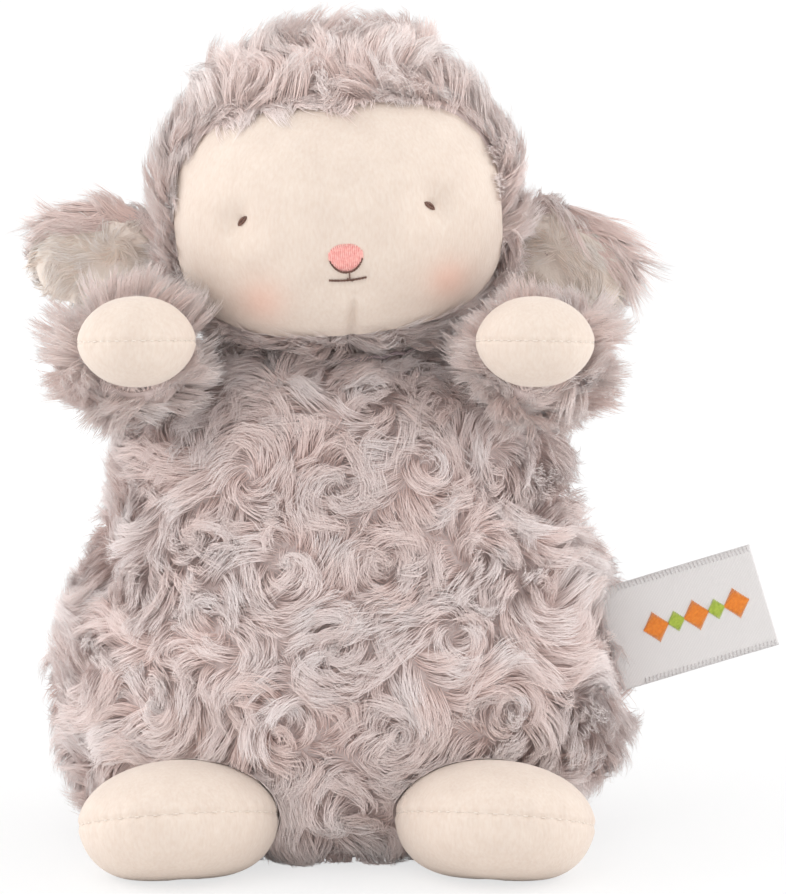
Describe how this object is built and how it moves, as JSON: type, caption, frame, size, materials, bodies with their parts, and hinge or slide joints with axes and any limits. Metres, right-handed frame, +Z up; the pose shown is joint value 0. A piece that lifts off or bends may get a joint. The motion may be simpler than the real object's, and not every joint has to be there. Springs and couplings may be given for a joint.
{
  "type": "plush lamb",
  "caption": "Stuffed lamb sitting upright: curly fur body and hood, velour face, hands and feet, drooping ears and a ribbon side label; head, ears, arms and feet bend at their seams.",
  "frame": {"origin": "centre of the flat seat panel, on the surface that the lamb sits on", "axes": "+Z up through the head, -Y the way the lamb faces, +X towards its own left side"},
  "size_m": [0.1769, 0.1232, 0.1939],
  "materials": {
    "mauve_fur": "matte",
    "cream_velour": "matte",
    "fibre_filling": "matte",
    "pouch_cloth": "matte",
    "pink_thread": "satin",
    "brown_thread": "satin",
    "seam_thread": "matte",
    "label_ribbon": "satin"
  },
  "bodies": {
    "torso": {"body_front_panel": "mauve_fur", "body_back_panel": "mauve_fur", "seat_panel": "mauve_fur", "body_stuffing": "fibre_filling", "pellet_pouch": "pouch_cloth"},
    "neck_seam": {"neck_seam_thread": "seam_thread"},
    "head": {"hood_left_panel": "mauve_fur", "hood_right_panel": "mauve_fur", "face_panel": "cream_velour", "head_stuffing": "fibre_filling", "nose_stitching": "pink_thread", "nose_edge_stitch": "brown_thread", "mouth_stitch": "brown_thread", "left_eye_stitch": "brown_thread", "right_eye_stitch": "brown_thread"},
    "left_ear": {"left_ear_back": "mauve_fur", "left_ear_lining": "cream_velour"},
    "right_ear": {"right_ear_back": "mauve_fur", "right_ear_lining": "cream_velour"},
    "left_arm": {"left_sleeve": "mauve_fur", "left_hand_top": "cream_velour", "left_hand_palm": "cream_velour", "left_arm_stuffing": "fibre_filling"},
    "right_arm": {"right_sleeve": "mauve_fur", "right_hand_top": "cream_velour", "right_hand_palm": "cream_velour", "right_arm_stuffing": "fibre_filling"},
    "left_foot": {"left_foot_top": "cream_velour", "left_foot_sole": "cream_velour", "left_foot_stuffing": "fibre_filling"},
    "right_foot": {"right_foot_top": "cream_velour", "right_foot_sole": "cream_velour", "right_foot_stuffing": "fibre_filling"},
    "label": {"side_label": "label_ribbon"}
  },
  "joints": [
    {"name": "head_turn", "type": "hinge", "parent": "torso", "child": "neck_seam", "pos_m": [0, 0, 0.154], "axis": [-0.0819, 0, 0.9966], "range_deg": [-12, 12], "stiffness_Nm_per_rad": 0.3},
    {"name": "head_nod", "type": "hinge", "parent": "neck_seam", "child": "head", "pos_m": [0, 0, 0.154], "axis": [0.9966, 0, 0.0819], "range_deg": [-12, 12], "stiffness_Nm_per_rad": 0.3},
    {"name": "left_ear_flop", "type": "hinge", "parent": "head", "child": "left_ear", "pos_m": [0.04214, 0.009, 0.14843], "axis": [0.4455, -0.4695, 0.7623], "range_deg": [-20, 20], "stiffness_Nm_per_rad": 0.01},
    {"name": "right_ear_flop", "type": "hinge", "parent": "head", "child": "right_ear", "pos_m": [-0.04066, 0.009, 0.14163], "axis": [0.1336, 0.4695, -0.8728], "range_deg": [-20, 20], "stiffness_Nm_per_rad": 0.01},
    {"name": "left_arm_swing", "type": "hinge", "parent": "torso", "child": "left_arm", "pos_m": [0.04895, -0.01635, 0.11146], "axis": [-1, 0, 0], "range_deg": [-35, 15], "stiffness_Nm_per_rad": 0.08},
    {"name": "right_arm_swing", "type": "hinge", "parent": "torso", "child": "right_arm", "pos_m": [-0.04895, -0.01635, 0.11146], "axis": [-1, 0, 0], "range_deg": [-35, 15], "stiffness_Nm_per_rad": 0.08},
    {"name": "left_foot_tilt", "type": "hinge", "parent": "torso", "child": "left_foot", "pos_m": [0.032, -0.03405, 0.014], "axis": [-0.9272, -0.3746, 0], "range_deg": [-12, 16], "stiffness_Nm_per_rad": 0.08},
    {"name": "right_foot_tilt", "type": "hinge", "parent": "torso", "child": "right_foot", "pos_m": [-0.032, -0.03405, 0.014], "axis": [-0.9272, 0.3746, 0], "range_deg": [-12, 16], "stiffness_Nm_per_rad": 0.08},
    {"name": "label_flap", "type": "hinge", "parent": "torso", "child": "label", "pos_m": [0.06937, 0, 0.048], "axis": [-0.2924, 0, 0.9563], "range_deg": [-60, 60], "stiffness_Nm_per_rad": 0.002}
  ]
}
